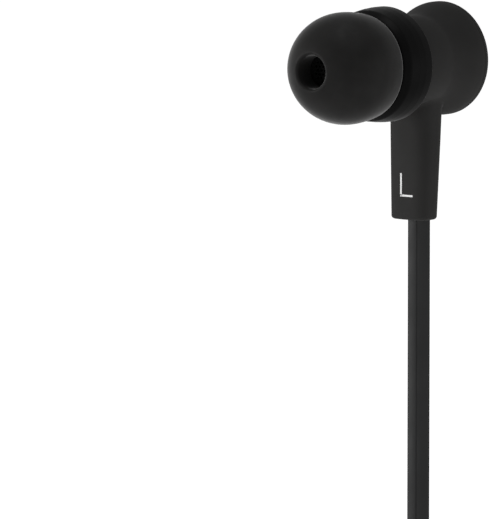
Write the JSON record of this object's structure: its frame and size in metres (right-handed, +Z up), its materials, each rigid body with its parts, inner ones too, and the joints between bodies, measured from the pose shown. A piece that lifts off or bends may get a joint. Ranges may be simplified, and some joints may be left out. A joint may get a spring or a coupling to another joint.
{
  "type": "wired earphones",
  "caption": "Pair of wired in-ear earphones: flared disc-backed buds on stems, silicone ear tips, flat cord with splitter and straight stereo plug, spare cord in a tied hank.",
  "frame": {"origin": "centre of the left ear tip's sealing circle, on the nozzle's axis", "axes": "-Y along the left nozzle into the ear, +Y towards the rear disc, +Z up along the stem, so the cord hangs down -Z"},
  "size_m": [0.0281, 0.0307, 0.2086],
  "materials": {
    "silicone": "matt moulded silicone",
    "shell": "fine matt soft-touch coating",
    "steel_mesh": "fine woven mesh, blackened",
    "gasket": "soft foam ring",
    "steel": "plated pressed steel",
    "driver_metal": "pressed steel",
    "magnet": "nickel-plated magnet",
    "film": "thin clear film",
    "copper": "enamelled copper",
    "felt": "thin felt",
    "board": "solder-masked board",
    "cord": "satin flat cord jacket",
    "tie": "matt moulded strap",
    "insulator": "moulded insulator",
    "plug_metal": "polished nickel plating",
    "mark": "printed white side mark"
  },
  "bodies": {
    "earphones": {"left_nozzle_mesh": "steel_mesh", "left_front_shell": "shell", "left_front_gasket": "gasket", "left_driver_grille": "steel", "left_pole_plate": "steel", "left_magnet": "magnet", "left_yoke": "steel", "left_driver_frame": "driver_metal", "left_damping_felt": "felt", "left_terminal_board": "board", "left_lead_wires": "copper", "left_rear_shell": "shell", "left_back_cap": "shell", "left_cord_knot": "cord", "left_cord_grommet": "cord", "right_nozzle_mesh": "steel_mesh", "right_front_shell": "shell", "right_front_gasket": "gasket", "right_driver_grille": "steel", "right_pole_plate": "steel", "right_magnet": "magnet", "right_yoke": "steel", "right_driver_frame": "driver_metal", "right_damping_felt": "felt", "right_terminal_board": "board", "right_lead_wires": "copper", "right_rear_shell": "shell", "right_back_cap": "shell", "right_cord_knot": "cord", "right_cord_grommet": "cord", "left_cord": "cord", "right_cord": "cord", "plug_cord": "cord", "cord_hank": "cord", "cord_ties": "tie", "splitter_front": "shell", "splitter_back": "shell", "splitter_joint": "copper", "plug_boot": "cord", "plug_grip": "shell", "plug_core": "steel", "plug_sleeve": "plug_metal", "plug_insulators": "insulator", "plug_ring": "plug_metal", "plug_tip": "plug_metal"},
    "left_tip": {"left_ear_tip": "silicone"},
    "right_tip": {"right_ear_tip": "silicone"},
    "left_cone": {"left_diaphragm": "film", "left_voice_coil": "copper"},
    "right_cone": {"right_diaphragm": "film", "right_voice_coil": "copper"}
  },
  "joints": [
    {"name": "left_tip_pull", "type": "slide", "parent": "earphones", "child": "left_tip", "axis": [0, -1, 0], "range_m": [0, 0.0105]},
    {"name": "left_cone_stroke", "type": "slide", "parent": "earphones", "child": "left_cone", "axis": [0, -1, 0], "range_m": [-0.00015, 0.00015], "stiffness_N_per_m": 12},
    {"name": "right_tip_pull", "type": "slide", "parent": "earphones", "child": "right_tip", "axis": [0, -1, 0], "range_m": [0, 0.0105]},
    {"name": "right_cone_stroke", "type": "slide", "parent": "earphones", "child": "right_cone", "axis": [0, -1, 0], "range_m": [-0.00015, 0.00015], "stiffness_N_per_m": 12}
  ]
}
